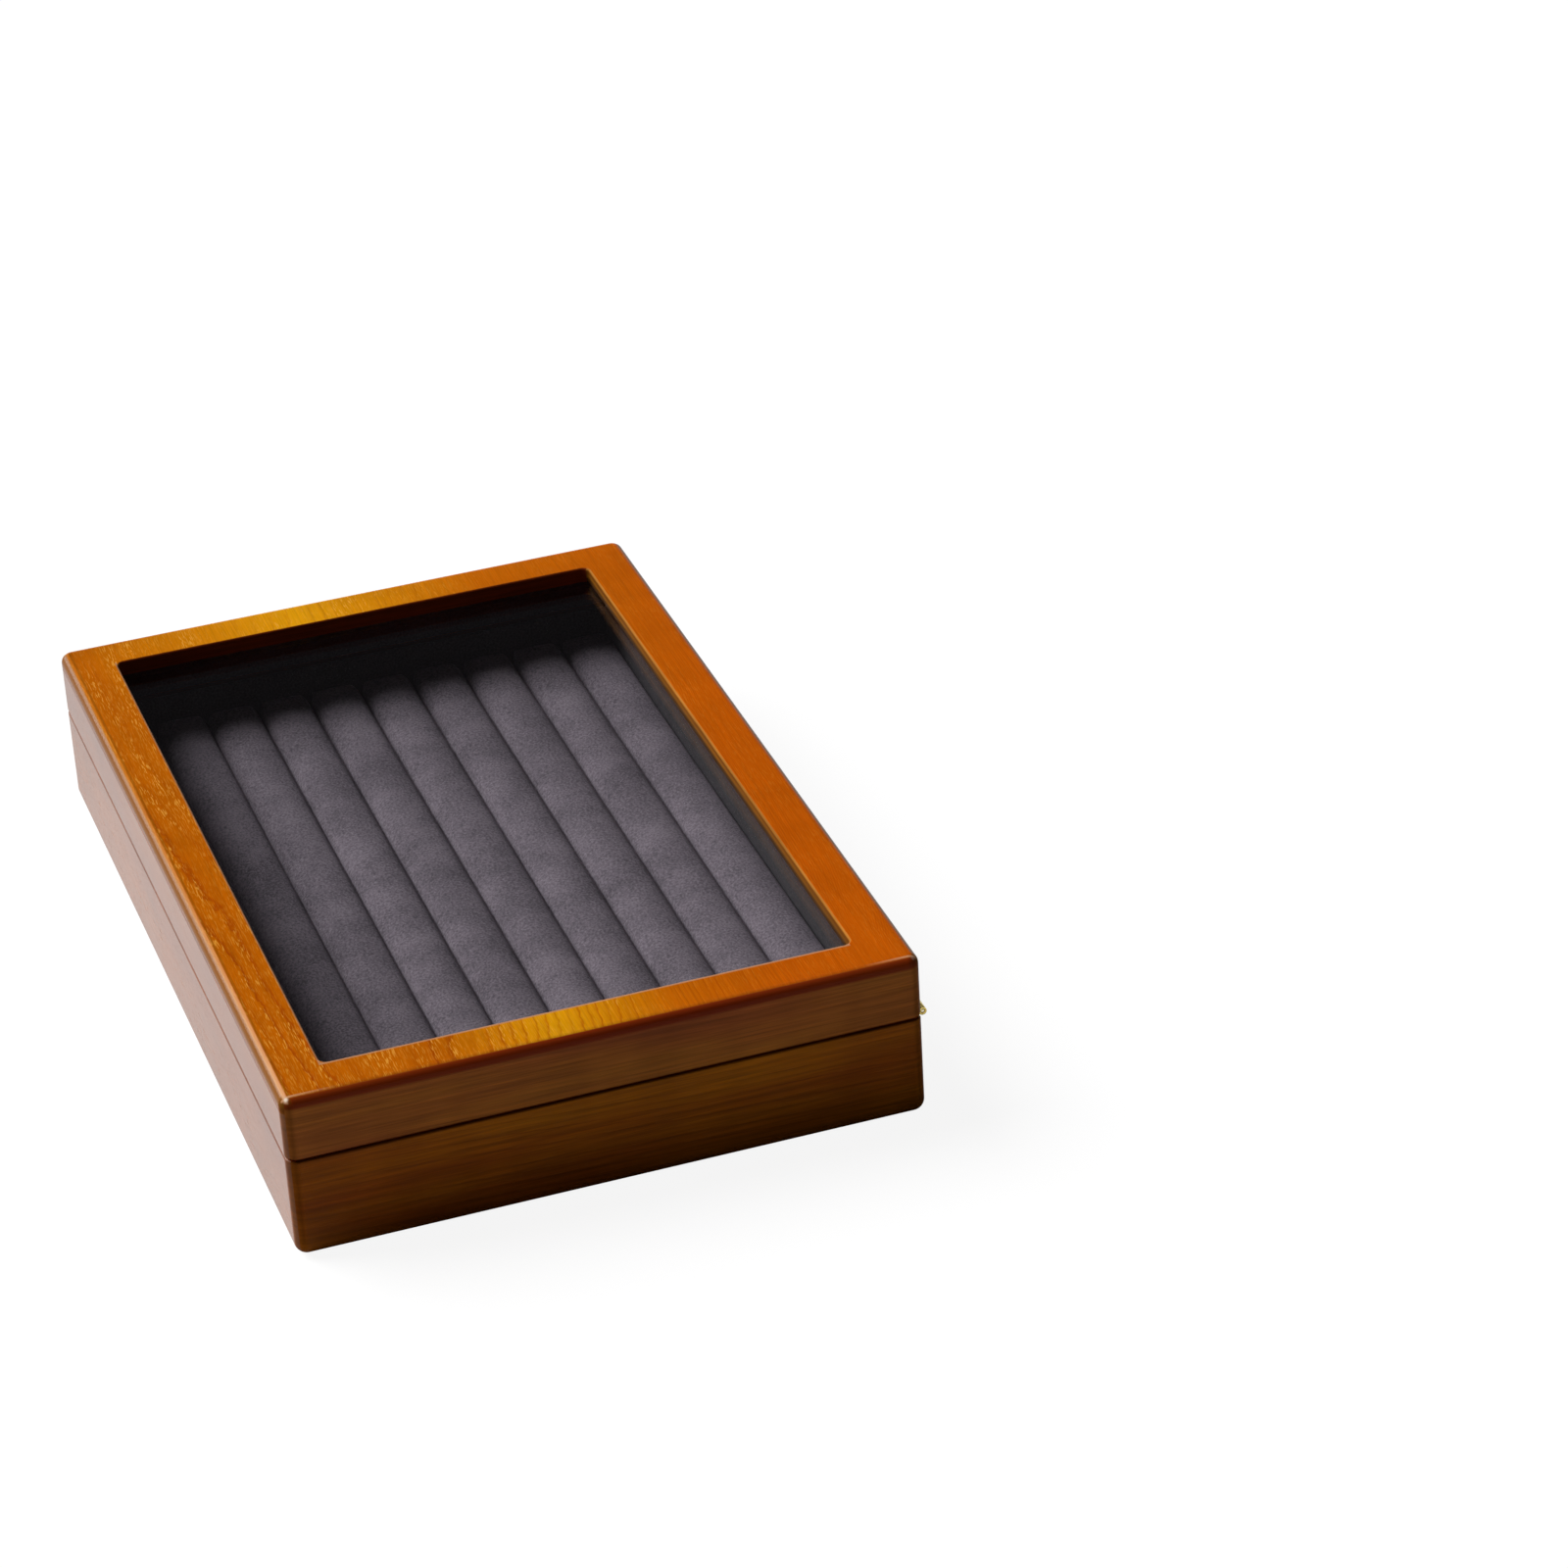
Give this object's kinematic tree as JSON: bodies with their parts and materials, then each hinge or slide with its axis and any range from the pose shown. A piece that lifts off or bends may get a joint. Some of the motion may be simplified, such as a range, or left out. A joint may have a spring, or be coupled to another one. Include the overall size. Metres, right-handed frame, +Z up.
{
  "type": "ring display box",
  "caption": "Low wooden ring display box with a glazed lid on small butt hinges and a well of padded ring rolls.",
  "frame": {"origin": "middle of the underside, on the plane of the felt that the box stands on, under the centre of the wooden case", "axes": "+X along the case's length, +Y to the hinge side, so the opening side faces -Y, and +Z up; the lid is shut"},
  "size_m": [0.35, 0.2325, 0.065],
  "materials": {
    "ash_veneer": "honey-stained, open-pored ash veneer under satin lacquer",
    "velvet_rolls": "short-pile grey-violet velvet",
    "velvet_lining": "short-pile near-black velvet",
    "underside_felt": "pressed felt",
    "clear_glass": "clear float glass",
    "brass": "polished",
    "nickel_magnet": "nickel-plated"
  },
  "bodies": {
    "base": {"base_front_wall": "ash_veneer", "base_rear_wall": "ash_veneer", "base_left_wall": "ash_veneer", "base_right_wall": "ash_veneer", "bottom_panel": "ash_veneer", "underside_felt": "underside_felt", "roll_board": "velvet_lining", "base_front_lining": "velvet_lining", "base_rear_lining": "velvet_lining", "base_left_lining": "velvet_lining", "base_right_lining": "velvet_lining", "ring_roll_01": "velvet_rolls", "ring_roll_02": "velvet_rolls", "ring_roll_03": "velvet_rolls", "ring_roll_04": "velvet_rolls", "ring_roll_05": "velvet_rolls", "ring_roll_06": "velvet_rolls", "ring_roll_07": "velvet_rolls", "ring_roll_08": "velvet_rolls", "ring_roll_09": "velvet_rolls", "ring_roll_10": "velvet_rolls", "left_hinge_base_leaf": "brass", "right_hinge_base_leaf": "brass", "left_hinge_pin": "brass", "right_hinge_pin": "brass", "base_hinge_screws": "brass", "base_magnet": "nickel_magnet"},
    "lid": {"lid_top_panel": "ash_veneer", "lid_front_wall": "ash_veneer", "lid_rear_wall": "ash_veneer", "lid_left_wall": "ash_veneer", "lid_right_wall": "ash_veneer", "lid_glass": "clear_glass", "lid_front_lining": "velvet_lining", "lid_rear_lining": "velvet_lining", "lid_left_lining": "velvet_lining", "lid_right_lining": "velvet_lining", "left_hinge_lid_leaf": "brass", "right_hinge_lid_leaf": "brass", "lid_hinge_screws": "brass", "lid_magnet": "nickel_magnet"}
  },
  "joints": [
    {"name": "lid_hinge", "type": "hinge", "parent": "base", "child": "lid", "pos_m": [0, 0.116, 0.0402], "axis": [-1, 0, 0], "range_deg": [0, 100]}
  ]
}
